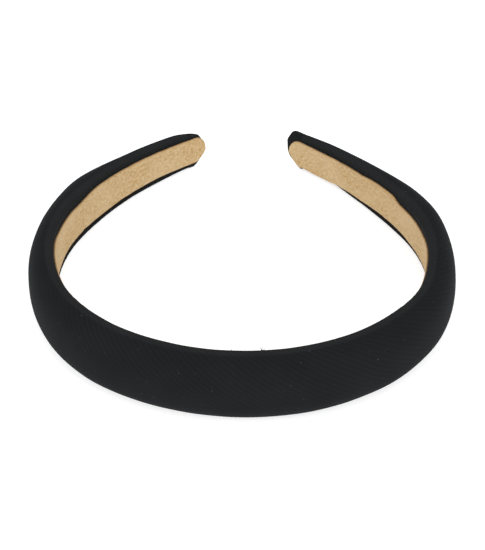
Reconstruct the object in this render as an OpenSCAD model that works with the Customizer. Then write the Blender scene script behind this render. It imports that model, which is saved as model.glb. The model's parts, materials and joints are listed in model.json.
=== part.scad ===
// Padded fabric headband.
// A springy plastic core strip carries a foam pad. A cloth cover wraps them and turns in over the edges,
// and a suede lining covers the turned-in hems on the head side. Both sides of the band are alike.
//
// Places on the band are given as s, d and v:
//   s  distance along the band from the middle of the crown
//   d  distance outwards from the cover's head-side face
//   v  distance up from the band's middle plane
// The band is cut where it bends most when it is opened, so that each stretch can turn on the next.

/* [Plan of the band] */
// Radius of the head-side face at the crown
crown_r = 77.6; // [72:0.1:82]
// Angle that each half of the crown arc turns
crown_turn = 30.4; // [27:0.1:33]
// Radius of the head-side face at each shoulder
shoulder_r = 49.4; // [46:0.1:53]
// Angle that each shoulder arc turns
shoulder_turn = 90.7; // [88:0.1:94]
// Radius of the head-side face along each arm
arm_r = 103.5; // [95:0.5:115]
// Angle that each arm arc turns
arm_turn = 31.6; // [28:0.1:34]

/* [Width and padding] */
// Width of the band at the crown
crown_width = 24.9; // [20:0.1:30]
// Width of the band just before its tips
tip_width = 14.5; // [12:0.1:16]
// Corner radius of the tips
tip_corner = 4; // [3:0.5:4.5]
// Share of each half that keeps the crown's full width before it tapers
full_width_share = 0.31; // [0.2:0.01:0.4]
// Total thickness at the crown, without the lining
crown_pad = 11; // [9:0.1:14]
// Total thickness along the sides, without the lining
side_pad = 8.6; // [7:0.1:10]
// Total thickness at the tips, without the lining
tip_pad = 3.6; // [3.5:0.1:5]

/* [Layers] */
// Thickness of the suede lining
lining_t = 0.7; // [0.5:0.1:1]
// Cover left showing beside each edge of the lining
lining_margin = 1.5; // [1:0.1:2.5]
// Thickness of the cover cloth
cloth_t = 0.4; // [0.3:0.05:0.6]
// Width of the cover's turned-in hem
hem_width = 6; // [4:0.5:7]
// Thickness of the plastic core strip
core_t = 1.6; // [1.2:0.1:1.8]
// Thickness of the tape that holds the foam
tape_t = 0.15; // [0.1:0.05:0.2]

/* [Bending] */
// Distance along the band to the bend between crown and shoulder
crown_bend = 35; // [30:1:38]
// Distance along the band to the bend between shoulder and arm
shoulder_bend = 95; // [80:1:110]
// Angle that the shoulder opens on the crown
crown_opening = 18; // [5:0.5:18]
// Angle that the arm opens on the shoulder
shoulder_opening = 11; // [3:0.5:11]
// Angle that a bend closes when the band is squeezed
squeeze = 4; // [0:0.5:4]

/* [Hidden] */
// Length of each arc and of half the band
crown_len = crown_r * crown_turn * PI / 180;
shoulder_len = shoulder_r * shoulder_turn * PI / 180;
arm_len = arm_r * arm_turn * PI / 180;
half_len = crown_len + shoulder_len + arm_len;

// Where each layer lies, from the head side outwards
layer_gap = 0.05;
lining_d = [-layer_gap - lining_t, -layer_gap];
glue_d = [0, cloth_t];
core_d = [cloth_t + layer_gap, cloth_t + layer_gap + core_t];
tape_d = [core_d[1] + layer_gap, core_d[1] + layer_gap + tape_t];
foam_base_d = tape_d[1] + layer_gap;
// Height at which the padded face starts to crown, above the straight edge
straight_edge = 0.3;
edge_d = foam_base_d + straight_edge;
// The core's middle, which neither stretches nor shortens as the band bends
neutral_d = (core_d[0] + core_d[1]) / 2;

// How far short of the tip each layer ends
lining_short = 0;
fold_short = 0.3;
fold_t = 1;
cover_short = fold_short + fold_t + layer_gap;
core_short = cover_short;
glue_short = 6;
foam_short = 8;

// Shares of half the band: length of the taper's soft start, extent of the crown's full thickness, length
// over which it thins to the sides' thickness, and place from which it thins towards the tip
taper_start = 0.08;
full_crown = 0.1;
crown_thinning = 0.45;
tip_thinning = 0.7;

// The most of the half width that a hem takes up, and the share that the glue between the hems covers
hem_share = 0.55;
glue_share = 0.45;

// Bevel where the cloth turns over the core's edge, on its outer and its inner face
cloth_bevel = 0.5;
cloth_inner_bevel = 0.1;

// Steepness of the pad's crowned outline, across the width and through the thickness
crown_power_v = 2.8;
crown_power_d = 1.8;
// Angle between two points of that outline, and distance between two stations along the band
outline_step = 15;
station_step = 5;
// Angle between two stations round a tip's corner, and the least distance to the stretch's ends
tip_step = 18;
tip_step_least = 0.1;

// Half the room left between two stretches at a bend, and the angle left over when it is fully open
bend_gap = 0.15;
bend_spare = 0.5;

// Name, side, start, end, and the opening at the start and at the end of each stretch
SEGMENTS = [
    ["crown", 1, -crown_bend, crown_bend, crown_opening, crown_opening],
    ["left_shoulder", -1, crown_bend, shoulder_bend, crown_opening, shoulder_opening],
    ["left_arm", -1, shoulder_bend, half_len, shoulder_opening, 0],
    ["right_shoulder", 1, crown_bend, shoulder_bend, crown_opening, shoulder_opening],
    ["right_arm", 1, shoulder_bend, half_len, shoulder_opening, 0],
];
LAYERS = ["lining", "lining_glue", "core", "foam_tape", "foam", "cover"];

// ---- Shape of the band ----

function smooth(x) = let (t = min(1, max(0, x))) t * t * (3 - 2 * t);

// Rises from 0 past a knee with a rounded corner, and runs straight after it
function ramp(x, knee, round) =
    x < knee - round ? 0 :
    x > knee + round ? x - knee :
    (x - knee + round) ^ 2 / (4 * round);

// Half the band's width: even over the crown, then tapering to the tips
function even_half_width(s) =
    let (taper = ramp(s / half_len, full_width_share, taper_start) / (1 - full_width_share))
    crown_width / 2 - (crown_width - tip_width) / 2 * taper;

// Half width with the tip's rounded corners
function half_width(s) =
    let (past = max(0, abs(s) - half_len + tip_corner))
    even_half_width(abs(s)) - tip_corner + sqrt(max(0, tip_corner ^ 2 - past ^ 2));

// Total thickness: fullest at the crown, even along the sides, thin at the tips
function thickness(s) =
    let (u = abs(s) / half_len)
    side_pad + (crown_pad - side_pad) * (1 - smooth((u - full_crown) / crown_thinning))
        - (side_pad - tip_pad) * smooth((u - tip_thinning) / (1 - tip_thinning));

function degrees_along(length, r) = length / r * 180 / PI;

// End of an arc that starts at a point with a heading and turns by an angle
function arc_end(start, r, heading, turn) =
    start + r * [sin(heading + turn) - sin(heading), cos(heading) - cos(heading + turn)];

shoulder_start = arc_end([0, 0], crown_r, 0, crown_turn);
arm_start = arc_end(shoulder_start, shoulder_r, crown_turn, shoulder_turn);

// Point and heading [x, y, angle] of the head-side face at a distance s from the middle of the crown
function face_at(s) =
    s <= crown_len ?
        let (turn = degrees_along(s, crown_r))
        concat(arc_end([0, 0], crown_r, 0, turn), turn) :
    s <= crown_len + shoulder_len ?
        let (turn = degrees_along(s - crown_len, shoulder_r))
        concat(arc_end(shoulder_start, shoulder_r, crown_turn, turn), crown_turn + turn) :
        let (heading = crown_turn + shoulder_turn, turn = degrees_along(s - crown_len - shoulder_len, arm_r))
        concat(arc_end(arm_start, arm_r, heading, turn), heading + turn);

// Point of the band at s, d and v, moved on along the band by shift
function band_point(s, d, v, shift = 0) =
    let (side = s < 0 ? -1 : 1, face = face_at(abs(s)), a = face[2], along = side * shift)
    [side * (face[0] + d * sin(a) + along * cos(a)), face[1] - d * cos(a) + along * sin(a), v];

// ---- Outlines across the band, as [d, v] points ----
// Each outline runs up the outer side and back down the head side, with as many points on each.

// Crowned outer face of the pad
function crowned(w, t) = [
    for (a = [-90:outline_step:90])
        [edge_d + (t - edge_d) * cos(a) ^ (2 / crown_power_d),
         w * sign(a) * abs(sin(a)) ^ (2 / crown_power_v)]
];

function reversed(points) = [for (i = [len(points) - 1:-1:0]) points[i]];

// One face of the cover cloth, from hem to hem; low is the hem's depth
function cloth_face(w, t, low, bevel, hem_v) = concat(
    [[low, -hem_v], [low, bevel - w], [low + bevel, -w]],
    crowned(w, t),
    [[low + bevel, w], [low, w - bevel], [low, hem_v]]
);

function cover_outline(s) =
    let (w = half_width(s), t = thickness(s), hem_v = w - min(hem_width, hem_share * w))
    concat(
        cloth_face(w, t, 0, cloth_bevel, hem_v),
        reversed(cloth_face(w - cloth_t, t - cloth_t, cloth_t, cloth_inner_bevel, hem_v))
    );

function foam_outline(s) =
    let (inset = cloth_t + layer_gap, face = crowned(half_width(s) - inset, thickness(s) - inset))
    concat(face, [for (p = reversed(face)) [foam_base_d, p[1]]]);

function full_outline(s) =
    let (face = crowned(half_width(s), thickness(s)))
    concat(face, [for (p = reversed(face)) [0, p[1]]]);

function strip_outline(depth, w) =
    [[depth[1], -w], [depth[1], w], [depth[0], w], [depth[0], -w]];

// ---- Sweeping an outline along the band ----

// Room left at a bend: it widens outwards for opening and inwards for squeezing
function bend_room(d, opening) =
    opening == 0 ? 0 :
    bend_gap + (d > neutral_d ?
        (d - neutral_d) * tan(opening / 2 + bend_spare) :
        (neutral_d - d) * tan(squeeze / 2 + bend_spare));

// Distances along the band from start to end, close together round the tip's corners
function stations(start, end) =
    let (
        corner_start = half_len - tip_corner,
        straight_end = min(end, corner_start),
        count = ceil((straight_end - start) / station_step),
        corner = [for (a = [tip_step:tip_step:90]) corner_start + tip_corner * sin(a)]
    )
    concat(
        start < straight_end ? [for (i = [0:count]) start + (straight_end - start) * i / count] : [start],
        [for (s = corner) if (s > start + tip_step_least && s < end - tip_step_least) s],
        end > straight_end ? [end] : []
    );

// Closed solid with the outline at each station, cut back at the bends it ends on
module swept(outline, segment, short = 0) {
    end = min(segment[3], half_len - short);
    places = stations(segment[2], end);
    rings = [for (s = places) outline(s)];
    last = len(places) - 1;
    size = len(rings[0]);
    points = [
        for (i = [0:last]) for (p = rings[i])
            let (shift = i == 0 ? bend_room(p[0], segment[4]) :
                i == last ? -bend_room(p[0], segment[5]) : 0)
            band_point(places[i], p[0], p[1], shift)
    ];
    walls = [
        for (i = [0:last - 1]) for (k = [0:size - 1])
            let (a = i * size + k, b = i * size + (k + 1) % size)
            each [[a, b, b + size], [a, b + size, a + size]]
    ];
    ends = [
        for (k = [0:size / 2 - 2])
            let (m = size - 1 - k, z = last * size)
            each [[k, m, m - 1], [k, m - 1, k + 1], [z + k, z + k + 1, z + m - 1], [z + k, z + m - 1, z + m]]
    ];
    lay_down() mirror([segment[1] < 0 ? 1 : 0, 0, 0])
        polyhedron(points, concat(walls, ends));
}

// ---- Lying on its lower edge ----
// The band touches what it lies on near the crown and along the widest part of its arms. It tapers between
// them, so its middle plane slopes down towards the tips, which stay just clear of the surface.

lying_stations = stations(0, half_len - cover_short);
balance_y = face_at(half_len / 2)[1];
// Slope that sets two points of the lower edge, one on each side of the balance point, level
function slope_between(front, back) =
    atan2(half_width(front) - half_width(back), face_at(back)[1] - face_at(front)[1]);
slope = min([
    for (back = lying_stations) if (face_at(back)[1] > balance_y)
        max([for (front = lying_stations) if (face_at(front)[1] < balance_y) slope_between(front, back)])
]);
lying_points = [
    for (s = lying_stations) for (p = cover_outline(s))
        let (q = band_point(s, p[0], p[1]))
        [q[1] * cos(slope) + q[2] * sin(slope), q[2] * cos(slope) - q[1] * sin(slope)]
];
fold_end = half_len - fold_short;
tip_end_y = band_point(fold_end, thickness(fold_end), 0)[1] * cos(slope);
lift = -min([for (q = lying_points) q[1]]);
middle_y = (min([for (q = lying_points) q[0]]) + tip_end_y) / 2;

module lay_down() {
    translate([0, -middle_y, lift]) rotate([-slope, 0, 0]) children();
}

// ---- Sub-parts ----

// Suede strip glued over the hems, with rounded ends
module lining(segment) {
    color("#cdae7c")
        swept(function(s) strip_outline(lining_d, half_width(s) - lining_margin), segment, lining_short);
}

// Film of glue under the lining, between the two hems
module lining_glue(segment) {
    color("#d9c98a")
        swept(function(s) strip_outline(glue_d, half_width(s) * glue_share - layer_gap), segment, glue_short);
}

// Springy plastic strip that holds the band's shape
module core(segment) {
    color("#e6e4dc")
        swept(function(s) strip_outline(core_d, half_width(s) - cloth_t - layer_gap), segment, core_short);
}

// Double-sided tape between the core and the foam
module foam_tape(segment) {
    color("#f2efe2")
        swept(function(s) strip_outline(tape_d, half_width(s) - 2 * cloth_t), segment, foam_short);
}

// Crowned foam pad
module foam(segment) {
    color("#f5f3ea") swept(function(s) foam_outline(s), segment, foam_short);
}

// Cloth cover with its hems turned in over the core's edges
module cover(segment) {
    color("#242628") swept(function(s) cover_outline(s), segment, cover_short);
}

// Cover cloth folded over the end of the core at a tip
module tip_fold(side) {
    stretch = ["tip", side, half_len - fold_short - fold_t, half_len, 0, 0];
    color("#1f2123") swept(function(s) full_outline(s), stretch, fold_short);
}

for (segment = SEGMENTS) {
    lining(segment);
    lining_glue(segment);
    core(segment);
    foam_tape(segment);
    foam(segment);
    cover(segment);
}
tip_fold(-1);  // left_tip_fold
tip_fold(1);  // right_tip_fold
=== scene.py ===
"""Looks of a padded headband: black twill drawn over a foam pad, and a tan suede lining on the head side.

Shapes are worked out in millimetres on the band itself and then placed in the row frame:
  s  distance along the band from the middle of the crown, positive towards +X
  d  distance outwards from the cover's head-side face
  v  distance up from the band's middle plane
Every layer is a row of rings along s. It is cut into four closed pieces, one round each bend.
"""
import json
import math

import bpy
import numpy as np
from mathutils import Matrix, Vector


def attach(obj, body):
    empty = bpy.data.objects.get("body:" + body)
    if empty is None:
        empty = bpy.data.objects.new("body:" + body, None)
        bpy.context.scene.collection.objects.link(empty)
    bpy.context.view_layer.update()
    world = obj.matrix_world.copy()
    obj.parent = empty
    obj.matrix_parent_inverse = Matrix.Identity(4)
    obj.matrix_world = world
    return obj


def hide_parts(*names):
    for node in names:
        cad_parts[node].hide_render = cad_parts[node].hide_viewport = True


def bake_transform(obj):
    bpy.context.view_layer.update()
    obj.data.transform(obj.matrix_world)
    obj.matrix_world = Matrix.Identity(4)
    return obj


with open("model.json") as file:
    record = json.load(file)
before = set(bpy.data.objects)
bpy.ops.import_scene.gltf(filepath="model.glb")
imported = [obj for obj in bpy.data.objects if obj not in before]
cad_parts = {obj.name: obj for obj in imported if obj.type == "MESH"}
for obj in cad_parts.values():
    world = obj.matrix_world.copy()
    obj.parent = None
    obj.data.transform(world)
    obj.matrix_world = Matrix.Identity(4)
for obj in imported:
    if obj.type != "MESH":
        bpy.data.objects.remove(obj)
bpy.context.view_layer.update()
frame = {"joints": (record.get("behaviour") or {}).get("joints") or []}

MM = 0.001
HANDS = {"left": -1, "right": 1}    # the sign of s on each side

# ---- The design's driving sizes, in millimetres and degrees ----
CROWN_R, CROWN_TURN = 77.6, 30.4
SHOULDER_R, SHOULDER_TURN = 49.4, 90.7
ARM_R, ARM_TURN = 103.5, 31.6
CROWN_WIDTH, TIP_WIDTH = 24.9, 14.5
FULL_WIDTH_SHARE, KNEE_ROUND = 0.31, 0.08
CROWN_PAD, SIDE_PAD, TIP_PAD = 11.0, 8.6, 3.6
FULL_CROWN, CROWN_THINNING, TIP_THINNING = 0.1, 0.45, 0.7       # shares of half the band
LINING_T, CLOTH_T, CORE_T, TAPE_T = 0.7, 0.4, 1.6, 0.15
HEM_WIDTH, HEM_SHARE = 6.0, 0.55
CROWN_BEND = 35.0
CROWN_POWER_V, CROWN_POWER_D = 2.8, 1.95
LAYER_GAP, STRAIGHT_EDGE = 0.05, 0.3
CORE_SHORT, FOAM_SHORT, GLUE_SHORT, COVER_SHORT = 1.6, 8.0, 7.0, 1.0
GLUE_SHARE, GLUE_MARGIN, GLUE_D = 0.45, 0.3, (0.15, CLOTH_T)

CROWN_LEN = CROWN_R * math.radians(CROWN_TURN)
SHOULDER_LEN = SHOULDER_R * math.radians(SHOULDER_TURN)
HALF_LEN = CROWN_LEN + SHOULDER_LEN + ARM_R * math.radians(ARM_TURN)
CORE_D = (CLOTH_T + LAYER_GAP, CLOTH_T + LAYER_GAP + CORE_T)
TAPE_D = (CORE_D[1] + LAYER_GAP, CORE_D[1] + LAYER_GAP + TAPE_T)
FOAM_BASE_D = TAPE_D[1] + LAYER_GAP
EDGE_D = FOAM_BASE_D + STRAIGHT_EDGE
NEUTRAL_D = (CORE_D[0] + CORE_D[1]) / 2

# ---- How this one was made: small differences between its sides, -1 for the left and 1 for the right ----
# The right arm's top leans towards the head: the angle, and the shares of half the band where it comes in
RIGHT_LEAN, LEAN_START, LEAN_REACH = math.radians(5.5), 0.2, 0.4
# Where the folded cloth and the lining end at each tip
COVER_END = {-1: HALF_LEN + 1.0, 1: HALF_LEN + 0.9}
LINING_END = {-1: HALF_LEN + 1.2, 1: HALF_LEN - 0.3}
# Length and depth of the cover's corners at the tips, and how round they are, 2 being round and 1 straight
TOP_CORNER = {-1: (11.0, 4.3), 1: (3.0, 2.8)}
LOW_CORNER = {-1: (4.3, 6.2), 1: (5.5, 6.2)}
TOP_ROUNDNESS, LOW_ROUNDNESS = 1.6, 1.25
# The same for the lining's corners, and how far down its ends are centred
LINING_TOP_LENGTH, LINING_TOP_ROUNDNESS = 4.3, {-1: 2.5, 1: 2.0}
LINING_LOW_LENGTH, LINING_LOW_ROUNDNESS = 4.0, {-1: 1.4, 1: 1.25}
LINING_END_V = {-1: 0.0, 1: -0.5}
# Hills along the band as (place, reach, height): where it is fuller, stands further out, or hangs lower
FULLER = (
    (-129, 12, 1.5), (-101, 12, -0.35), (-60, 11, 0.1), (20, 34, 0.5),
    (48, 9, 0.25), (66, 9, -0.3), (104, 12, -0.3), (117, 15, 1.2),
)
BOWED = (
    (-66, 12, 0.3), (-40, 14, 0.2), (48, 12, -0.25), (70, 10, 0.65), (138, 19, -0.6), (180, 22, 0.45),
)
HANGING = ((162, 8, -0.4), (172, 1.2, 0.7))
# Margins of cover beside the lining: each edge's least margin, and where along a side it is wider, as
# plateaus of (start, end, rise, fall, height)
LOW_MARGIN, TOP_MARGIN = 2.2, 1.5
LOW_MARGIN_SHIFT, SHIFT_REACH = {-1: 0.4, 1: -0.3}, 50
LOW_WIDER = {-1: ((72, 98, 8, 12, 1.2), (100, 134, 10, 12, 0.4)), 1: ((114, 147, 10, 14, 1.0),)}
TOP_WIDER = {
    -1: ((35, 92, 20, 16, 0.9), (92, 132, 12, 14, 1.9), (122, 176, 12, 14, 0.6)),
    1: ((35, 92, 20, 16, 0.9), (90, 127, 16, 5, 1.9), (134, 174, 12, 14, 1.0)),
}
# Where the lower margin narrows towards each tip, as (start, reach, height), and two small spots in it
LOW_NARROWS = {-1: (158, 14, 0.3), 1: (150, 14, 1.2)}
LOW_SPOTS = ((170, 2.5, 0.5), (-121, 1.2, 0.35))

# ---- The cloth ----
HEM_CORNER = 0.9                    # radius at which the cloth turns in over the core's edge
# The lower hem's roll on the head side: how far it comes out, where it starts and ends along each side, its
# width, its inner slope, and how far it stays from the lining
LOWER_ROLL = 0.6
ROLL_START, ROLL_END = 58.0, {-1: 172.0, 1: 162.0}
ROLL_WIDTH, ROLL_SLOPE, ROLL_GAP = 1.7, 0.8, 0.2
PUCKER = 0.07                       # height of the puckers where the hem is gathered
PUFF_CAP = 0.5                      # the most that the simulation may move the cloth
THREAD_R = 0.09
# Loose threads: where they leave the upper hem, and each one's middle and end from there, as (s, d, v)
THREADS = {
    7.1: (
        ((0.1, 0.1, 1.0), (0.3, 0.3, 1.8)),
        ((-0.2, -0.2, 0.7), (-0.5, -0.4, 1.2)),
        ((0.5, 0.1, 0.5), (1.2, 0.4, 0.6)),
    ),
    -2.8: (((0.1, 0.1, 0.5), (0.4, 0.2, 0.8)),),
}

# ---- The tips' folds ----
# How far back each reaches, how long its rounding is, its lowest d, and the d that it closes on
FOLD_REACH, FOLD_ROUND, FOLD_LOW_D, FOLD_CENTRE_D = 6.0, 1.5, 0.02, 1.1
# How much proud of the cover each is where it begins, and how much more at its end
FOLD_START_PLY, FOLD_END_PLY = 0.03, {-1: 0.1, 1: 0.19}
# Points across each side of the outline, and how far back the pleats reach
FOLD_POINTS, PLEAT_REACH = 41, 4.5
# Pleats round each fold, as (angle, width, height)
PLEATS = {
    -1: ((-0.9, 0.14, 0.06), (0.2, 0.1, 0.04), (0.8, 0.16, 0.05)),
    1: ((-0.9, 0.14, 0.07), (0.1, 0.1, 0.06), (0.7, 0.14, 0.04)),
}

# ---- Unevenness along the band, as (height, step, seed) ----
COVER_WAVER, PAD_WAVER, FOAM_WAVER = (0.1, 61, 0.7), (0.12, 83, 1.9), (0.05, 23, 1.1)
LINING_LOW_WAVER, LINING_TOP_WAVER, GLUE_WAVER = (0.1, 37, 0.4), (0.1, 29, 2.6), (0.15, 19, 0.9)

# ---- How far inside the cover's edge the hidden layers end ----
CORE_MARGIN, TAPE_MARGIN, FOAM_MARGIN, FOAM_ROOM = 1.0, 1.4, CLOTH_T + 0.35, 0.15

# ---- Where the layers are cut, and where the bends begin and end, along s ----
CUT = 65.0
CROWN_ZONE = (3.0, 63.0)
SHOULDER_ZONE = (68.0, 122.0)


# ---------------------------------------------------------------- shape of the band

def smooth(x):
    t = np.clip(x, 0, 1)
    return t * t * (3 - 2 * t)


def ramp(x, knee, rounding):
    """Rises from 0 past a knee with a rounded corner, and runs straight after it."""
    bent = (x - knee + rounding) ** 2 / (4 * rounding)
    return np.where(x < knee - rounding, 0, np.where(x > knee + rounding, x - knee, bent))


def even_half_width(s):
    taper = ramp(np.abs(s) / HALF_LEN, FULL_WIDTH_SHARE, KNEE_ROUND) / (1 - FULL_WIDTH_SHARE)
    return CROWN_WIDTH / 2 - (CROWN_WIDTH - TIP_WIDTH) / 2 * taper


def sided(s, values):
    """The left or the right value, by the side of the band that s is on."""
    return np.where(s < 0, values[-1], values[1])


def hills(s, places):
    """A sum of smooth rises, each with its place, its reach and its height."""
    return sum(height * np.exp(-((s - at) / reach) ** 2) for at, reach, height in places)


def plateau(s, start, end, rise, fall):
    return smooth((s - start) / rise) * smooth((end - s) / fall)


def rounded_end(s, end, length, power=2.0):
    """Falls from 1 to 0 over the last length before the end: round for power 2, nearly straight for 1."""
    past = np.clip((np.abs(s) - end + length) / length, 0, 1)
    return (1 - past ** power) ** (1 / power)


def cover_edge(s, corners, roundness):
    """How far one edge of the cover is from the band's middle plane, with its corner at each tip."""
    length, depth = (sided(s, {side: corners[side][i] for side in corners}) for i in (0, 1))
    return even_half_width(s) - depth * (1 - rounded_end(s, sided(s, COVER_END), length, roundness))


def cover_edges(s):
    """The middle between the cover's two edges, and half its width."""
    upper = cover_edge(s, TOP_CORNER, TOP_ROUNDNESS)
    lower = cover_edge(s, LOW_CORNER, LOW_ROUNDNESS) + hills(s, HANGING)
    return (upper - lower) / 2, (upper + lower) / 2


def thickness(s):
    u = np.abs(s) / HALF_LEN
    crown = (CROWN_PAD - SIDE_PAD) * (1 - smooth((u - FULL_CROWN) / CROWN_THINNING))
    tip = (SIDE_PAD - TIP_PAD) * smooth((u - TIP_THINNING) / (1 - TIP_THINNING))
    return SIDE_PAD + crown - tip + hills(s, FULLER)


def arc_end(x, y, radius, heading, turn):
    return (x + radius * (np.sin(heading + turn) - np.sin(heading)),
            y + radius * (np.cos(heading) - np.cos(heading + turn)))


def face_at(s):
    """x, y and heading of the head-side face at distances s from the middle of the crown."""
    crown = np.clip(s, 0, CROWN_LEN) / CROWN_R
    shoulder = np.clip(s - CROWN_LEN, 0, SHOULDER_LEN) / SHOULDER_R
    arm = np.clip(s - CROWN_LEN - SHOULDER_LEN, 0, None) / ARM_R
    x, y = arc_end(0, 0, CROWN_R, 0, crown)
    x, y = arc_end(x, y, SHOULDER_R, crown, shoulder)
    x, y = arc_end(x, y, ARM_R, crown + shoulder, arm)
    return x, y, crown + shoulder + arm


def band_point(s, d, v):
    """A point of the band before it is laid down, in millimetres."""
    x, y, heading = face_at(np.abs(s))
    side = np.where(s < 0, -1, 1)
    return np.stack(np.broadcast_arrays(side * (x + d * np.sin(heading)), y - d * np.cos(heading), v), -1)


def laying_down():
    """The turn and the shift, in metres, that lay the band on its lower edge as the frame's hinge does."""
    hinge = next(j for j in frame["joints"] if j["name"] == "right_crown_bend")
    up = Vector(hinge["axis"])
    up = up if up.z > 0 else -up
    turn = np.array(Matrix.Rotation(-math.atan2(up.y, up.z), 3, "X"))
    return turn, np.array(hinge["pos_m"]) - turn @ (band_point(CROWN_BEND, NEUTRAL_D, 0.0) * MM)


LAY_TURN, LAY_SHIFT = laying_down()


def in_row_frame(points):
    """Band points in millimetres, as points of the row frame in metres."""
    return np.asarray(points) * MM @ LAY_TURN.T + LAY_SHIFT


def place(s, d, v):
    """Points of the row frame in metres. The right arm's lean grows along the shoulder."""
    lean = RIGHT_LEAN * smooth((s / HALF_LEN - LEAN_START) / LEAN_REACH)
    leant_d = d * np.cos(lean) - v * np.sin(lean) + hills(s, BOWED)
    leant_v = v * np.cos(lean) + d * np.sin(lean)
    return in_row_frame(band_point(s, leant_d, leant_v))


def on_floor(points):
    """The points, raised to the floor where they would be under it."""
    return np.concatenate([points[..., :2], np.maximum(points[..., 2:], 0)], -1)


def waver(s, height, step, seed):
    """A slow hand-made unevenness of about the height to each side of 0, the same on each run."""
    waves = ((1.0, 1.0, 1.0), (0.6, 0.43, 2.1), (0.4, 0.19, 3.7))
    angle = 2 * math.pi * s / step
    return height * sum(high * np.sin(angle / share + turn * seed) for high, share, turn in waves) / 2


def stations(end_left, end_right, step, fine=0.25, reach=6.0):
    """Distances along the band: even between the cuts, and ever closer together towards both ends."""
    knots = (-end_left + reach, -CUT, 0.0, CUT, end_right - reach)
    even = [np.linspace(a, b, math.ceil((b - a) / step) + 1)[:-1] for a, b in zip(knots, knots[1:])]
    near = reach * (1 - np.cos(np.linspace(0, math.pi / 2, int(reach / fine))))
    return np.concatenate([-end_left + near[:-1], *even, (end_right - near)[::-1]])


# ---------------------------------------------------------------- outlines across the band, as (d, v)

def resampled(d, v, count):
    """Each row of points again, count of them, evenly spaced along its length."""
    out_d, out_v = np.empty((len(d), count)), np.empty((len(d), count))
    for i, (row_d, row_v) in enumerate(zip(d, v)):
        along = np.concatenate([[0], np.cumsum(np.hypot(np.diff(row_d), np.diff(row_v)))])
        at = np.linspace(0, along[-1], count)
        out_d[i] = np.interp(at, along, row_d)
        out_v[i] = np.interp(at, along, row_v)
    return out_d, out_v


def crowned(w, t, count):
    """The pad's crowned outer face, from the lower edge to the upper one."""
    a = np.linspace(-math.pi / 2, math.pi / 2, 181)
    across = np.sign(a) * np.abs(np.sin(a)) ** (2 / CROWN_POWER_V)
    rise = np.clip(np.cos(a), 0, None) ** (2 / CROWN_POWER_D)
    return resampled(EDGE_D + (t[:, None] - EDGE_D) * rise, w[:, None] * across, count)


def joined(*runs):
    """Runs of (d, v) points side by side."""
    wide = [np.broadcast_arrays(*run) for run in runs]
    return np.concatenate([d for d, _ in wide], 1), np.concatenate([v for _, v in wide], 1)


def cloth_face(w, t):
    """The cover cloth's outer face, from the end of the lower hem to the end of the upper one."""
    pad = crowned(w, t, 37)
    w = w[:, None]
    hem_v = w - np.minimum(HEM_WIDTH, HEM_SHARE * w)
    share = np.linspace(0, 1, 7)[None, :]
    up_edge = share[:, 2:-1:2]
    corner = np.radians(np.linspace(0, 90, 6))[None, 1:]
    hem = (0 * share * w, -hem_v + (hem_v - w + HEM_CORNER) * share)
    turned = (HEM_CORNER * (1 - np.cos(corner)) + 0 * w, HEM_CORNER * (1 - np.sin(corner)) - w)
    edge = (HEM_CORNER + (EDGE_D - HEM_CORNER) * up_edge + 0 * w, -w + 0 * up_edge)
    lower = joined(hem, turned, edge)
    upper = (lower[0][:, ::-1], -lower[1][:, ::-1])
    return joined(lower, pad, upper)


def strip(depth, low_v, high_v, rounding, count):
    """A flat strip's outline: up its outer side, and back down its head side with rounded edges."""
    most_rounding, outer_share = 0.9, 0.25
    low_d, high_d = depth
    middle, half = (low_v + high_v)[:, None] / 2, (high_v - low_v)[:, None] / 2
    soft = np.minimum(rounding, half * most_rounding)
    arc = np.radians(np.linspace(0, 90, 5))[None, :]
    top_d, top_v = low_d + soft * (1 - np.sin(arc)), half - soft * (1 - np.cos(arc))
    share = np.linspace(1, -1, count)[None, 1:-1]
    flat = (low_d + 0 * share * half, (half - soft) * share)
    head_d, head_v = joined((top_d, top_v), flat, (top_d[:, ::-1], -top_v[:, ::-1]))
    across = np.linspace(-1, 1, head_d.shape[1])[None, :]
    outer = (high_d + 0 * across * half, (half - outer_share * soft) * across)
    d, v = joined(outer, (head_d, head_v))
    return d, v + middle


# ---------------------------------------------------------------- rings to meshes

def ring_normals(rings):
    along = np.gradient(rings, axis=0)
    around = np.roll(rings, -1, 1) - np.roll(rings, 1, 1)
    normal = np.cross(along, around)
    return normal / np.maximum(np.linalg.norm(normal, axis=-1, keepdims=True), 1e-15)


def grid_normals(grid):
    normal = np.cross(np.gradient(grid, axis=0), np.gradient(grid, axis=1))
    return normal / np.maximum(np.linalg.norm(normal, axis=-1, keepdims=True), 1e-15)


def ring_faces(count, size):
    """Walls round a row of rings, and an end at each side that joins the outer points to the inner ones."""
    first = (np.arange(count - 1)[:, None] * size + np.arange(size)[None, :]).ravel()
    following = (np.arange(count - 1)[:, None] * size + (np.arange(size)[None, :] + 1) % size).ravel()
    walls = np.stack([first, first + size, following + size, following], 1)
    k = np.arange(size // 2 - 1)
    start = np.stack([k, k + 1, size - 2 - k, size - 1 - k], 1)
    end = start[:, ::-1] + (count - 1) * size
    return np.concatenate([walls, start, end])


def mesh_piece(name, rings, normals, uv, wear, material):
    """One closed piece from a run of rings, shaded by its layer's normals so that the cuts don't show."""
    count, size = rings.shape[:2]
    faces = ring_faces(count, size)
    mesh = bpy.data.meshes.new(name)
    mesh.from_pydata(rings.reshape(-1, 3).tolist(), [], faces.tolist())
    mesh.polygons.foreach_set("use_smooth", [True] * len(faces))
    layer = mesh.uv_layers.new(name="cloth")
    layer.data.foreach_set("uv", uv.reshape(-1, 2)[faces.ravel()].astype(np.float32).ravel())
    attribute = mesh.attributes.new("wear", "FLOAT", "POINT")
    attribute.data.foreach_set("value", wear.astype(np.float32).ravel())
    mesh.normals_split_custom_set_from_vertices(normals.reshape(-1, 3).tolist())
    mesh.materials.append(material)
    piece = bpy.data.objects.new(name, mesh)
    bpy.context.scene.collection.objects.link(piece)
    return piece


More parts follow.
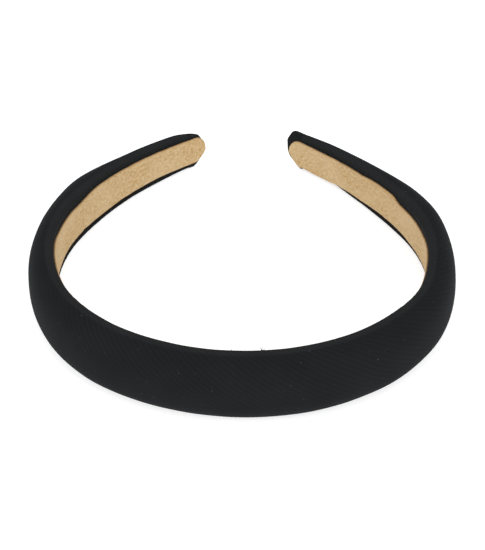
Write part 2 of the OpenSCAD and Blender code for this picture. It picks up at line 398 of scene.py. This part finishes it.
def bend_points(side, zone):
    """The two points of the row frame between which a bend turns."""
    return [tuple(place(np.array(side * s), np.array(NEUTRAL_D), np.array(0.0))) for s in zone]


def cut_layer(layer, s, rings, uv, wear, material):
    """The layer's four pieces, each round one bend. The design's parts for the nodes that each covers are
    hidden.
    """
    normals = ring_normals(rings)
    pieces = {}
    for hand, side in HANDS.items():
        for part, low, high, bodies, zone in (
            ("front", 0.0, CUT, ("crown", f"{hand}_shoulder"), CROWN_ZONE),
            ("back", CUT, 2 * HALF_LEN, (f"{hand}_shoulder", f"{hand}_arm"), SHOULDER_ZONE),
        ):
            rows = np.flatnonzero((side * s >= low - 1e-6) & (side * s <= high + 1e-6))
            name = f"{layer}_{hand}_{part}"
            piece = mesh_piece(name, rings[rows], normals[rows], uv[rows], wear[rows], material)
            start, end = bend_points(side, zone)
            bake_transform(piece)
            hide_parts(*[f"{layer}_{body}" for body in bodies])
            pieces[hand, part] = piece
    return pieces


# ---------------------------------------------------------------- materials

class Paint:
    """A material being made: it adds nodes and joins them."""

    def __init__(self, name):
        self.material = bpy.data.materials.new(name)
        self.material.use_nodes = True
        self.tree = self.material.node_tree
        self.shader = self.tree.nodes["Principled BSDF"]
        self.cloth = self.add("ShaderNodeUVMap", uv_map="cloth").outputs[0]

    def add(self, kind, inputs=None, **settings):
        node = self.tree.nodes.new(kind)
        for key, value in settings.items():
            setattr(node, key, value)
        for key, value in (inputs or {}).items():
            self.put(node.inputs[key], value)
        return node

    def put(self, socket, value):
        if isinstance(value, bpy.types.NodeSocket):
            self.tree.links.new(value, socket)
        else:
            socket.default_value = value

    def noise(self, size, detail, stretch=(1, 1, 1), turn=0.0):
        """Noise whose blotches are about size millimetres across."""
        mapping = {"Vector": self.cloth, "Rotation": (0, 0, turn), "Scale": stretch}
        where = self.add("ShaderNodeMapping", mapping).outputs[0]
        inputs = {"Vector": where, "Scale": 1 / size, "Detail": detail}
        return self.add("ShaderNodeTexNoise", inputs).outputs[0]

    def lines(self, pitch, turn, sway):
        """Lines pitch millimetres apart, turned from the band's length."""
        turned = self.add("ShaderNodeMapping", {"Vector": self.cloth, "Rotation": (0, 0, turn)})
        wave = self.add("ShaderNodeTexWave", {
            "Vector": turned.outputs[0], "Scale": math.pi / 10 / pitch, "Distortion": sway,
            "Detail": 2.0, "Detail Scale": 0.6}, bands_direction="Y")
        return wave.outputs[1]

    def math(self, operation, a, b):
        return self.add("ShaderNodeMath", {0: a, 1: b}, operation=operation).outputs[0]

    def spread(self, value, low, high, to_low=0.0, to_high=1.0):
        inputs = {"Value": value, "From Min": low, "From Max": high, "To Min": to_low, "To Max": to_high}
        return self.add("ShaderNodeMapRange", inputs).outputs[0]

    def mix(self, share, a, b, blend="MIX"):
        inputs = {0: share, 6: a, 7: b}
        return self.add("ShaderNodeMix", inputs, data_type="RGBA", blend_type=blend).outputs[2]

    def wear(self):
        return self.add("ShaderNodeAttribute", attribute_name="wear").outputs["Fac"]

    def bump(self, height, distance, strength=1.0, normal=None):
        inputs = {"Height": height, "Distance": distance * MM, "Strength": strength}
        if normal is not None:
            inputs["Normal"] = normal
        return self.add("ShaderNodeBump", inputs).outputs[0]

    def finish(self, **values):
        for key, value in values.items():
            self.put(self.shader.inputs[key.replace("_", " ")], value)
        return self.material


def grey(value, warmth=0.0):
    """A linear colour near grey; warmth moves it towards red, and below zero towards blue."""
    return (value * (1 + warmth), value, value * (1 - warmth), 1)


TWILL_TURN = math.radians(40)


def cover_cloth():
    """Black twill: fine diagonal ribs, a faint wider slant, and fuzz a little paler at the edges."""
    paint = Paint("cover_cloth")
    ribs = paint.lines(0.55, TWILL_TURN, 0.6)
    threads = paint.lines(0.36, TWILL_TURN - math.pi / 2, 0.8)
    slant = paint.lines(1.6, TWILL_TURN, 1.2)
    fuzz = paint.noise(0.25, 3.0)
    tone = paint.noise(16.0, 3.0)
    weave = paint.math("ADD", paint.math("MULTIPLY", ribs, 0.6), paint.math("MULTIPLY", slant, 0.4))
    dark = paint.mix(weave, grey(0.0070, -0.05), grey(0.0108, -0.06))
    fuzzy_edge = paint.math("MULTIPLY", paint.wear(), paint.spread(fuzz, 0.35, 0.75))
    worn = paint.mix(fuzzy_edge, dark, grey(0.02, -0.02))
    lint = paint.spread(paint.noise(0.9, 0.0), 0.82, 0.88)
    shaded = paint.mix(1.0, worn, grey(0.8), "MULTIPLY")
    colour = paint.mix(paint.spread(tone, 0.3, 0.7), worn, shaded)
    colour = paint.mix(lint, colour, grey(0.036))
    relief = paint.bump(ribs, 0.05, 0.5)
    relief = paint.bump(threads, 0.03, 0.3, relief)
    relief = paint.bump(slant, 0.06, 0.28, relief)
    relief = paint.bump(fuzz, 0.05, 0.35, relief)
    return paint.finish(
        Base_Color=colour, Normal=relief, Roughness=paint.spread(fuzz, 0.2, 0.8, 0.82, 0.97),
        Specular_IOR_Level=0.06, Sheen_Weight=0.015, Sheen_Roughness=0.45, Sheen_Tint=(0.75, 0.85, 0.95, 1))


def lining_suede():
    """Tan suede: a short mottled nap, browner along its cut edges."""
    paint = Paint("lining_suede")
    mottle = paint.noise(1.1, 4.0)
    nap = paint.noise(0.42, 3.0, stretch=(1.0, 0.7, 1.0))
    pits = paint.noise(0.7, 1.0)
    cloud = paint.noise(14.0, 2.0)
    tan = paint.mix(paint.spread(mottle, 0.3, 0.7), (0.348, 0.218, 0.076, 1), (0.508, 0.394, 0.240, 1))
    tan = paint.mix(paint.spread(nap, 0.35, 0.65), paint.mix(1.0, tan, grey(0.78, 0.05), "MULTIPLY"), tan)
    tan = paint.mix(paint.spread(cloud, 0.4, 0.65, 0.0, 0.45), tan, (0.46, 0.345, 0.205, 1))
    tan = paint.mix(paint.spread(pits, 0.30, 0.20, 0.0, 0.6), tan, (0.27, 0.16, 0.07, 1))
    tan = paint.mix(paint.math("MULTIPLY", paint.wear(), 0.75), tan, (0.30, 0.17, 0.07, 1))
    relief = paint.bump(nap, 0.16, 0.6)
    relief = paint.bump(mottle, 0.25, 0.35, relief)
    return paint.finish(
        Base_Color=tan, Normal=relief, Roughness=paint.spread(nap, 0.2, 0.8, 0.86, 1.0),
        Specular_IOR_Level=0.1, Sheen_Weight=0.08, Sheen_Roughness=0.5, Sheen_Tint=(1.0, 0.9, 0.75, 1))


def core_plastic():
    """Natural moulded plastic with faint flow marks."""
    paint = Paint("core_plastic")
    flow = paint.noise(6.0, 3.0, stretch=(0.25, 1.0, 1.0))
    grain = paint.noise(0.4, 2.0)
    colour = paint.mix(flow, (0.70, 0.68, 0.61, 1), (0.80, 0.79, 0.74, 1))
    colour = paint.mix(paint.math("MULTIPLY", paint.wear(), 0.5), colour, (0.88, 0.88, 0.85, 1))
    return paint.finish(
        Base_Color=colour, Normal=paint.bump(grain, 0.03, 0.4),
        Roughness=paint.spread(flow, 0.2, 0.8, 0.4, 0.55))


def pad_foam():
    """Off-white foam with fine open cells, each painted darker towards its hollow middle as shade."""
    paint = Paint("pad_foam")
    cell_size = 0.55
    pores = paint.add("ShaderNodeTexVoronoi", {"Vector": paint.cloth, "Scale": 1 / cell_size})
    cells = pores.outputs["Distance"]
    tone = paint.noise(9.0, 3.0)
    # Painted shade: each cell is darker towards its middle, where the bump dips into a pore.
    colour = paint.mix(paint.spread(cells, 0.0, 0.7), (0.62, 0.60, 0.52, 1), (0.83, 0.82, 0.76, 1))
    colour = paint.mix(paint.spread(tone, 0.3, 0.7, 0.0, 0.3), colour, (0.84, 0.78, 0.62, 1))
    return paint.finish(
        Base_Color=colour, Normal=paint.bump(cells, 0.25, 0.7),
        Roughness=paint.spread(cells, 0.0, 0.7, 1.0, 0.85))


def foam_tape_film():
    """Tissue tape: a mottled film with long fibres."""
    paint = Paint("tape")
    fibres = paint.noise(0.5, 4.0, stretch=(0.12, 1.0, 1.0), turn=0.4)
    blotch = paint.noise(4.0, 2.0)
    colour = paint.mix(fibres, (0.74, 0.72, 0.62, 1), (0.86, 0.85, 0.79, 1))
    return paint.finish(
        Base_Color=colour, Normal=paint.bump(fibres, 0.03, 0.5),
        Roughness=paint.spread(blotch, 0.3, 0.7, 0.35, 0.6))


def set_glue():
    """Set hot-melt glue, pressed thin and wavy."""
    paint = Paint("glue")
    waves = paint.noise(3.0, 2.0, stretch=(0.5, 1.0, 1.0))
    colour = paint.mix(waves, (0.66, 0.54, 0.27, 1), (0.78, 0.68, 0.42, 1))
    return paint.finish(
        Base_Color=colour, Normal=paint.bump(waves, 0.3, 0.5),
        Roughness=paint.spread(waves, 0.3, 0.7, 0.25, 0.45))


def floor_paint():
    """A pale matt floor with a hardly visible grain."""
    paint = Paint("floor")
    where = paint.add("ShaderNodeTexCoord").outputs["Object"]
    grain = paint.add("ShaderNodeTexNoise", {"Vector": where, "Scale": 30.0, "Detail": 3.0}).outputs[0]
    return paint.finish(
        Base_Color=paint.mix(grain, grey(0.60), grey(0.62)), Roughness=0.85, Specular_IOR_Level=0.1,
        Emission_Color=grey(1.0), Emission_Strength=0.55)


# ---------------------------------------------------------------- the cover

def simulated(points, held):
    """A grid of cloth after pressure from the pad's side has puffed it; held is 1 where it may not move."""
    frames = 20
    count, size = points.shape[:2]
    first = (np.arange(count - 1)[:, None] * size + np.arange(size - 1)[None, :]).ravel()
    faces = np.stack([first, first + size, first + size + 1, first + 1], 1)
    mesh = bpy.data.meshes.new("cloth_run")
    mesh.from_pydata(points.reshape(-1, 3).tolist(), [], faces.tolist())
    run = bpy.data.objects.new("cloth_run", mesh)
    bpy.context.scene.collection.objects.link(run)
    group = run.vertex_groups.new(name="held")
    for i, weight in enumerate(held.ravel()):
        if weight > 0:
            group.add([i], float(weight), "REPLACE")
    cloth = run.modifiers.new("cloth", "CLOTH")
    settings = cloth.settings
    settings.quality = 6
    settings.mass = 0.15
    settings.tension_stiffness = settings.compression_stiffness = 12
    settings.shear_stiffness = 4
    settings.bending_stiffness = 1.5
    settings.shrink_min = 0.0
    settings.use_pressure = True
    settings.uniform_pressure_force = 16
    settings.vertex_group_mass = "held"
    settings.effector_weights.gravity = 0
    cloth.point_cache.frame_start, cloth.point_cache.frame_end = 1, frames
    for step in range(1, frames + 1):
        bpy.context.scene.frame_set(step)
    shown = run.evaluated_get(bpy.context.evaluated_depsgraph_get()).data
    moved = np.empty(len(shown.vertices) * 3, np.float32)
    shown.vertices.foreach_get("co", moved)
    bpy.data.objects.remove(run)
    bpy.data.meshes.remove(mesh)
    bpy.context.scene.frame_set(1)
    return moved.reshape(points.shape).astype(float)


def softened(field, passes):
    """The field with each point drawn towards its neighbours along the band and across it."""
    for _ in range(passes):
        for axis in (0, 1):
            size = field.shape[axis]
            padded = np.concatenate([field.take([0], axis), field, field.take([-1], axis)], axis)
            before, after = (padded.take(range(i, i + size), axis) for i in (0, 2))
            field = field / 2 + (before + after) / 4
    return field


def puffed(outer, held):
    """The cover's outer face after the cloth simulation, run ten times as large, with its moves limited."""
    grow, passes = 10.0, 6
    moved = simulated(outer * grow, held) / grow - outer
    normal = grid_normals(outer)
    proud = softened(np.sum(moved * normal, -1), passes)
    limit = PUFF_CAP * MM
    return outer + normal * (limit * np.tanh(proud / limit))[..., None]


def puckers(s):
    """Ripples where the turned-in hem is gathered round the shoulders."""
    wide_step, fine_step, past_shoulder, fade = 3.4, 2.2, 15, 25
    gathered = plateau(np.abs(s), CROWN_LEN, CROWN_LEN + SHOULDER_LEN + past_shoulder, fade, fade)
    wide = np.sin(2 * math.pi * s / wide_step + 1.4 * np.sin(s / 2.7))
    return PUCKER * gathered * (wide + 0.5 * np.sin(2 * math.pi * s / fine_step + 2))


def rolled(s, d, v, w, middle):
    """The face's d with its lower hem rolled out below the lining, along the shoulders and arms."""
    rise, fall = 14, 16
    along = plateau(np.abs(s), ROLL_START, sided(s, ROLL_END), rise, fall)[:, None]
    inner_edge = np.minimum(ROLL_WIDTH - w, lining_edges(s)[0] - middle - ROLL_GAP)[:, None]
    below_lining = smooth((inner_edge - v) / ROLL_SLOPE)
    return d - LOWER_ROLL * along * below_lining * smooth((EDGE_D - d) / EDGE_D)


def distance_round(d, v):
    """How far round its outline each point is from the outline's first point."""
    return np.concatenate([np.zeros((len(d), 1)), np.cumsum(np.hypot(np.diff(d), np.diff(v)), 1)], 1)


def cover_layer(material):
    """The cover's pieces, its rings' distances along the band, and how wide the flat cloth is at each."""
    worn_reach, held_end, held_edge, fade = 0.6, 7.0, 2.5, 12
    s = stations(COVER_END[-1] - COVER_SHORT, COVER_END[1] - COVER_SHORT, 1.2)
    middle, w = cover_edges(s)
    w = w + waver(s, *COVER_WAVER)
    t = thickness(s) + waver(s, *PAD_WAVER)
    d, v = cloth_face(w, t)
    d = rolled(s, d, v, w, middle)
    arc = distance_round(d, v)
    wide = arc[:, -1].copy()
    arc -= wide[:, None] / 2
    near_edge = np.exp(-((np.abs(v) - w[:, None]) / worn_reach) ** 2) * (d < EDGE_D + worn_reach)
    outer = place(s[:, None], d, v + middle[:, None])
    off_the_tips = plateau(s, -COVER_END[-1] + held_end, COVER_END[1] - held_end, fade, fade)
    free = smooth((d - EDGE_D) / held_edge) * off_the_tips[:, None]
    outer = puffed(outer, 1 - free)
    normal = grid_normals(outer)
    outer = on_floor(outer + normal * (near_edge * puckers(s)[:, None] * MM)[..., None])
    inner = outer - normal * CLOTH_T * MM
    rings = np.concatenate([outer, inner[:, ::-1]], 1)
    uv = np.stack([np.broadcast_to(s[:, None], arc.shape), arc], -1)
    uv = np.concatenate([uv, uv[:, ::-1]], 1)
    wear = np.concatenate([near_edge, near_edge[:, ::-1]], 1)
    pieces = cut_layer("cover", s, rings, uv, wear, material)
    return pieces, s, wide


# ---------------------------------------------------------------- the tip folds

def fold_outline(w, t):
    """A crowned outer face closed by a head side that is flat between its rounded edges."""
    flat_share = 0.9
    d, v = crowned(w, t, FOLD_POINTS)
    across = np.linspace(1, -1, FOLD_POINTS + 2)[None, 1:-1]
    corner = np.clip((np.abs(across) - flat_share) / (1 - flat_share), 0, 1)
    head_d = FOLD_LOW_D + (EDGE_D - FOLD_LOW_D) * corner ** 2
    return joined((d, v), (head_d + 0 * w[:, None], w[:, None] * across / np.abs(across[0, 0])))


def tip_fold(hand, side, material):
    """Cover cloth folded over the end of the core: a closed cap with pleats."""
    least_scale, closing_power, ply_rise, pleat_rise, most_worn = 0.02, 0.6, 3, 4, 0.3
    end = COVER_END[side]
    turn = np.linspace(0, math.pi / 2, 14)
    straight = np.linspace(end - FOLD_REACH, end - FOLD_ROUND, 14)[:-1]
    s = np.concatenate([straight, end - FOLD_ROUND + FOLD_ROUND * np.sin(turn)])
    closing = np.maximum(rounded_end(s, end, FOLD_ROUND), least_scale) ** closing_power
    before_the_point = end - 0.35
    middle, w = cover_edges(side * np.minimum(s, before_the_point))
    ply = FOLD_START_PLY + FOLD_END_PLY[side] * smooth((s - end + FOLD_REACH) / ply_rise)
    w, t = w + ply, thickness(side * s) + ply
    d, v = fold_outline(w, t)
    angle = np.arctan2(v / w[:, None], (d - FOLD_CENTRE_D) / t[:, None])
    lift = sum(high * np.exp(-((angle - at) / width) ** 2) for at, width, high in PLEATS[side])
    growth = smooth((s - end + PLEAT_REACH) / pleat_rise)[:, None]
    head_side = d <= 0.3
    scale = closing[:, None] * (1 + lift * growth * ~head_side)
    d, v = FOLD_CENTRE_D + (d - FOLD_CENTRE_D) * scale, v * scale
    rings = place(side * s[:, None], d, v + middle[:, None])
    around = distance_round(d, v)
    around -= around[:, [FOLD_POINTS // 2]]
    uv = np.stack([np.broadcast_to(side * s[:, None], around.shape), around], -1)
    wear = np.clip(lift * growth * 2, 0, most_worn) * np.ones_like(around)
    if side < 0:
        rings, uv, wear = rings[::-1], uv[::-1], wear[::-1]
    piece = mesh_piece(f"{hand}_tip_fold_cloth", rings, ring_normals(rings), uv, wear, material)
    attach(piece, f"{hand}_arm")
    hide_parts(f"{hand}_tip_fold")
    return piece


# ---------------------------------------------------------------- the lining

def widening(s, places):
    """How much wider a margin is: the sum of the plateaus on its side of the band."""
    away = np.abs(s)
    return sided(s, {
        side: sum(high * plateau(away, *run) for *run, high in runs) for side, runs in places.items()})


def lining_edges(s):
    """Lower and upper edge of the lining, glued on by hand, with its rounded and slanting ends."""
    least = 0.03
    away = np.abs(s)
    narrowing = sided(s, {
        side: high * smooth((away - start) / reach) for side, (start, reach, high) in LOW_NARROWS.items()})
    shift = sided(s, LOW_MARGIN_SHIFT) * smooth(away / SHIFT_REACH)
    lower = LOW_MARGIN + widening(s, LOW_WIDER) - narrowing + shift + hills(s, LOW_SPOTS)
    upper = TOP_MARGIN + widening(s, TOP_WIDER)
    w = even_half_width(s)
    low, high = lower + waver(s, *LINING_LOW_WAVER) - w, w - upper - waver(s, *LINING_TOP_WAVER)
    end, middle = sided(s, LINING_END), sided(s, LINING_END_V)
    top = np.maximum(rounded_end(s, end, LINING_TOP_LENGTH, sided(s, LINING_TOP_ROUNDNESS)), least)
    slant = np.maximum(rounded_end(s, end, LINING_LOW_LENGTH, sided(s, LINING_LOW_ROUNDNESS)), least)
    return middle + (low - middle) * slant, middle + (high - middle) * top


def lining_layer():
    """The suede strip, slightly frayed at its cut edges and sunk between the cover's two hems."""
    sunk, sunk_slope, frayed, worn_reach, rounding, points = 0.1, 1.2, 0.05, 0.22, 0.3, 29
    s = stations(LINING_END[-1], LINING_END[1], 0.9, fine=0.18, reach=5.0)
    low, high = lining_edges(s)
    fray = frayed * np.sin(s * 9.1 + 2 * np.sin(s * 2.3)) * np.sin(s * 3.7)
    low, high = low + fray, high + fray[::-1]
    d, v = strip((-LAYER_GAP - LINING_T, -LAYER_GAP), low, high, rounding, points)
    between_hems = smooth((cover_edges(s)[1][:, None] - HEM_WIDTH - np.abs(v)) / sunk_slope)
    head_side = d < -LAYER_GAP - LINING_T / 2
    d = d + sunk * between_hems * head_side
    rings = place(s[:, None], d, v)
    uv = np.stack([np.broadcast_to(s[:, None], v.shape), v], -1)
    edge = np.minimum(v - low[:, None], high[:, None] - v)
    wear = np.exp(-(np.clip(edge, 0, None) / worn_reach) ** 2)
    pieces = cut_layer("lining", s, rings, uv, wear, lining_suede())


# ---------------------------------------------------------------- the hidden layers

def strip_layer(layer, depth, width, short, rounding, material):
    """A flat strip from tip to tip, with rounded edges; width gives its half width from the cover's."""
    points, worn_reach = 15, 0.4
    s = stations(COVER_END[-1] - short, COVER_END[1] - short, 3.0, fine=0.6)
    middle, w = cover_edges(s)
    half = width(s, w)
    d, v = strip(depth, middle - half, middle + half, rounding, points)
    rings = place(s[:, None], d, v)
    uv = np.stack([np.broadcast_to(s[:, None], v.shape), v + 0.5 * d], -1)
    wear = np.exp(-((np.abs(v - middle[:, None]) - half[:, None]) / worn_reach) ** 2)
    return cut_layer(layer, s, rings, uv, wear, material)


def foam_layer():
    """The crowned pad, with the slight unevenness of cut foam and a small bevel at its base."""
    points, bevel = 33, 0.05
    s = stations(COVER_END[-1] - FOAM_SHORT, COVER_END[1] - FOAM_SHORT, 2.0, fine=0.6)
    middle, w = cover_edges(s)
    w, t = w - FOAM_MARGIN, thickness(s) - FOAM_MARGIN - FOAM_ROOM
    d, v = crowned(w, t, points)
    d = np.maximum(d + waver(s, *FOAM_WAVER)[:, None], FOAM_BASE_D + bevel)
    share = np.linspace(1, -1, points)[None, :]
    d, v = joined((d, v), (FOAM_BASE_D + 0 * share * w[:, None], (w[:, None] - bevel) * share))
    rings = place(s[:, None], d, v + middle[:, None])
    uv = np.stack([np.broadcast_to(s[:, None], v.shape), v + d], -1)
    pieces = cut_layer("foam", s, rings, uv, np.zeros_like(v), pad_foam())


# ---------------------------------------------------------------- loose threads

def thread(start, middle, end, radius, sides=6, steps=14):
    """Rings of a thin thread that leaves start, leans over at middle and thins out to end."""
    aside, thinning = (0.31, 0.17, 0.93), 0.6
    at = np.linspace(0, 1, steps)[:, None]
    line = (1 - at) ** 2 * start + 2 * at * (1 - at) * middle + at ** 2 * end
    along = np.gradient(line, axis=0)
    along /= np.linalg.norm(along, axis=1, keepdims=True)
    side = np.cross(along, aside)
    side /= np.linalg.norm(side, axis=1, keepdims=True)
    up = np.cross(side, along)
    turn = -np.arange(sides) * 2 * math.pi / sides
    taper = (1 - thinning * at[:, 0] ** 2)[:, None, None] * radius
    cos, sin = np.cos(turn)[None, :, None], np.sin(turn)[None, :, None]
    return line[:, None] + taper * (side[:, None] * cos + up[:, None] * sin)


def loose_threads(at, threads, material):
    """A few frayed threads that leave the cover's upper hem near the middle of the crown."""
    inside_cloth, below_edge, worn, uv_step = 0.25, 0.35, 0.3, 0.1
    hem = np.array((at, inside_cloth, CROWN_WIDTH / 2 - below_edge))
    for i, (middle, end) in enumerate(threads):
        line = [place(*(hem + offset)) for offset in (np.zeros(3), np.array(middle), np.array(end))]
        rings = thread(*line, THREAD_R * MM)
        uv = np.stack(np.indices(rings.shape[:2]) * uv_step, -1)
        wear = np.full(rings.shape[:2], worn)
        name = f"loose_thread_{at:.0f}_{i}"
        piece = mesh_piece(name, rings, ring_normals(rings), uv, wear, material)
        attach(piece, "crown")


# ---------------------------------------------------------------- studio

def stage():
    floor_size = 3.0
    bpy.ops.mesh.primitive_grid_add(x_subdivisions=24, y_subdivisions=24, size=floor_size)
    floor = bpy.context.object
    floor.name = "floor"
    floor.data.materials.append(floor_paint())


def softbox(name, place_m, size, power):
    """A round lamp that faces the middle of the floor."""
    floor_middle = Vector((0, 0, 0))
    light = bpy.data.lights.new(name, "AREA")
    light.shape, light.size, light.energy = "DISK", size, power
    lamp = bpy.data.objects.new(name, light)
    lamp.location = place_m
    lamp.rotation_euler = (floor_middle - Vector(place_m)).to_track_quat("-Z", "Y").to_euler()
    bpy.context.scene.collection.objects.link(lamp)


def studio_light():
    """An even white surround, and three soft lamps."""
    world = bpy.data.worlds.new("studio")
    world.use_nodes = True
    surround = world.node_tree.nodes["Background"].inputs
    surround["Color"].default_value = (0.99, 0.995, 1.0, 1)
    surround["Strength"].default_value = 1.0
    bpy.context.scene.world = world
    softbox("left_softbox", (-0.8, -0.75, 0.6), 0.8, 7)
    softbox("right_softbox", (0.8, -0.7, 0.6), 0.8, 7)
    softbox("top_softbox", (0.0, 0.0, 1.2), 1.0, 1)
    bpy.context.scene.view_settings.view_transform = "Standard"


def camera():
    """The camera looks down on the crown from the front, a little over 44 degrees above the floor.

    Its angles and its target are given in the band's own frame, before it is laid down.
    """
    elevation, azimuth, roll = math.radians(41.8), math.radians(0.578), math.radians(0.567)
    distance, focal_px, frame_px, sensor = 1000.0, 2912.3, 550.0, 36.0
    target = np.array((0.119, 60.0, -8.894))
    back = np.array((math.sin(azimuth) * math.cos(elevation), -math.cos(azimuth) * math.cos(elevation),
                     math.sin(elevation)))
    across = np.cross(-back, (0, 0, 1))
    across /= np.linalg.norm(across)
    up = np.cross(across, -back)
    right = math.cos(roll) * across + math.sin(roll) * up
    axes = np.stack([right, np.cross(back, right), back], 1)
    data = bpy.data.cameras.new("camera")
    data.sensor_width = sensor
    data.lens = focal_px * sensor / frame_px
    data.clip_start, data.clip_end = 0.05, 20.0
    shot = bpy.data.objects.new("camera", data)
    turn = Matrix((LAY_TURN @ axes).tolist()).to_4x4()
    shot.matrix_world = Matrix.Translation(in_row_frame(target + back * distance)) @ turn
    bpy.context.scene.collection.objects.link(shot)
    bpy.context.scene.camera = shot


# ---------------------------------------------------------------- all together

camera()
cloth = cover_cloth()
cover, cover_s, cover_wide = cover_layer(cloth)
folds = {hand: tip_fold(hand, side, cloth) for hand, side in HANDS.items()}
lining_layer()
foam_layer()
strip_layer("core", CORE_D, lambda s, w: w - CORE_MARGIN, CORE_SHORT, 0.4, core_plastic())
strip_layer("foam_tape", TAPE_D, lambda s, w: w - TAPE_MARGIN, FOAM_SHORT, 0.03, foam_tape_film())
strip_layer("lining_glue", GLUE_D, lambda s, w: w * GLUE_SHARE - GLUE_MARGIN + waver(s, *GLUE_WAVER),
            GLUE_SHORT, 0.08, set_glue())
for at, threads in THREADS.items():
    loose_threads(at, threads, cloth)
stage()
studio_light()
